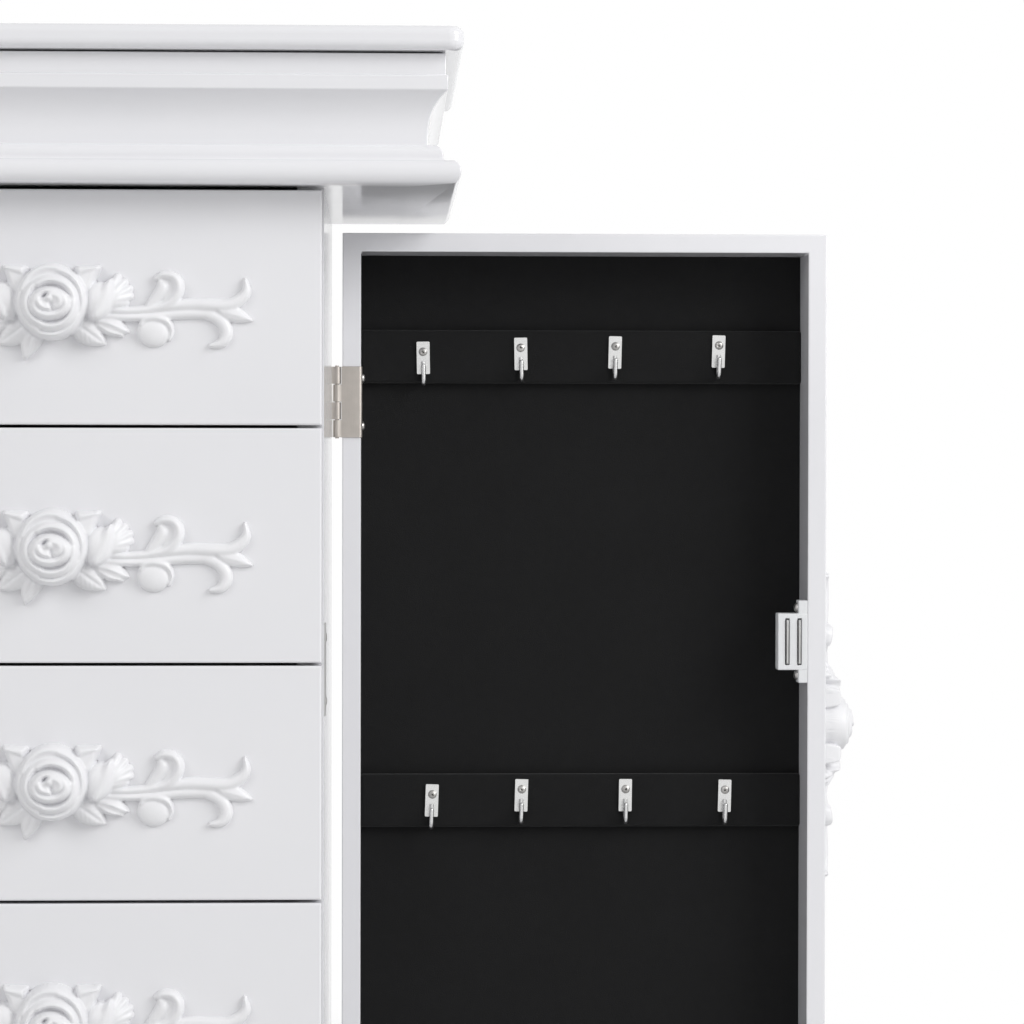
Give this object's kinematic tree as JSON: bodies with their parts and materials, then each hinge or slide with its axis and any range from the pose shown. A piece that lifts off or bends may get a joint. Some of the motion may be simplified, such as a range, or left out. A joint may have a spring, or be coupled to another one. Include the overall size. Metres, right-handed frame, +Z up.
{
  "type": "jewellery mirror cabinet",
  "caption": "Free-standing white lacquered jewellery cabinet: mirrored flip-up lid, rose-carved drawers and two side doors with felt-lined necklace trays.",
  "frame": {"origin": "on the floor under the middle of the closed lid", "axes": "+Z up, -Y the front of the drawers, +X the cabinet's right-hand side as seen from the front"},
  "size_m": [0.7211, 0.3996, 0.9005],
  "materials": {
    "lacquer": "high-gloss white lacquer on fibreboard",
    "carving_lacquer": "gloss white lacquer on carved resin or wood",
    "back_board": "thin white-faced board, satin",
    "felt": "black flocked felt",
    "drawer_wood": "white satin lacquer",
    "runner_wood": "waxed hardwood",
    "hinge_steel": "nickel-plated steel, satin",
    "plate_steel": "zinc-plated steel",
    "screw_steel": "zinc-plated steel",
    "hook_nickel": "bright nickel plate",
    "catch_plastic": "moulded white plastic with two steel pole plates",
    "mirror_glass": "silvered glass"
  },
  "bodies": {
    "cabinet": {"left_side_panel": "lacquer", "right_side_panel": "lacquer", "back_panel": "back_board", "base_board": "lacquer", "base_mouldings": "lacquer", "feet": "lacquer", "top_board": "lacquer", "front_crown_moulding": "lacquer", "left_crown_moulding": "lacquer", "right_crown_moulding": "lacquer", "crown_back_rail": "lacquer", "top_tray": "felt", "ring_rolls": "felt", "drawer_runners": "runner_wood", "cabinet_hinge_leaves": "hinge_steel", "hinge_pins": "hinge_steel", "strike_plates": "plate_steel", "cabinet_screws": "screw_steel"},
    "lid": {"lid_board": "lacquer", "lid_mirror": "mirror_glass", "lid_hinge_leaves": "hinge_steel", "lid_screws": "screw_steel"},
    "drawer_1": {"drawer_1_front": "lacquer", "drawer_1_box": "drawer_wood", "drawer_1_liner": "felt", "drawer_1_applique": "carving_lacquer"},
    "drawer_2": {"drawer_2_front": "lacquer", "drawer_2_box": "drawer_wood", "drawer_2_liner": "felt", "drawer_2_applique": "carving_lacquer"},
    "drawer_3": {"drawer_3_front": "lacquer", "drawer_3_box": "drawer_wood", "drawer_3_liner": "felt", "drawer_3_applique": "carving_lacquer"},
    "drawer_4": {"drawer_4_front": "lacquer", "drawer_4_box": "drawer_wood", "drawer_4_liner": "felt", "drawer_4_applique": "carving_lacquer"},
    "drawer_5": {"drawer_5_front": "lacquer", "drawer_5_box": "drawer_wood", "drawer_5_liner": "felt", "drawer_5_applique": "carving_lacquer"},
    "left_door": {"left_door_frame": "lacquer", "left_door_skin": "lacquer", "left_door_felt": "felt", "left_door_hook_rails": "felt", "left_door_hooks": "hook_nickel", "left_door_catch": "catch_plastic", "left_door_hinge_leaves": "hinge_steel", "left_door_screws": "screw_steel", "left_door_applique": "carving_lacquer"},
    "right_door": {"right_door_frame": "lacquer", "right_door_skin": "lacquer", "right_door_felt": "felt", "right_door_hook_rails": "felt", "right_door_hooks": "hook_nickel", "right_door_catch": "catch_plastic", "right_door_hinge_leaves": "hinge_steel", "right_door_screws": "screw_steel", "right_door_applique": "carving_lacquer"}
  },
  "joints": [
    {"name": "lid_hinge", "type": "hinge", "parent": "cabinet", "child": "lid", "pos_m": [0, 0.176, 0.8865], "axis": [-1, 0, 0], "range_deg": [0, 100]},
    {"name": "drawer_1_slide", "type": "slide", "parent": "cabinet", "child": "drawer_1", "axis": [0, -1, 0], "range_m": [0, 0.21]},
    {"name": "drawer_2_slide", "type": "slide", "parent": "cabinet", "child": "drawer_2", "axis": [0, -1, 0], "range_m": [0, 0.21]},
    {"name": "drawer_3_slide", "type": "slide", "parent": "cabinet", "child": "drawer_3", "axis": [0, -1, 0], "range_m": [0, 0.21]},
    {"name": "drawer_4_slide", "type": "slide", "parent": "cabinet", "child": "drawer_4", "axis": [0, -1, 0], "range_m": [0, 0.21]},
    {"name": "drawer_5_slide", "type": "slide", "parent": "cabinet", "child": "drawer_5", "axis": [0, -1, 0], "range_m": [0, 0.21]},
    {"name": "left_door_hinge", "type": "hinge", "parent": "cabinet", "child": "left_door", "pos_m": [-0.1537, 0.1753, 0.407], "axis": [0, 0, -1], "range_deg": [0, 170]},
    {"name": "right_door_hinge", "type": "hinge", "parent": "cabinet", "child": "right_door", "pos_m": [0.1537, 0.1753, 0.407], "axis": [0, 0, 1], "range_deg": [-90, 80]}
  ]
}
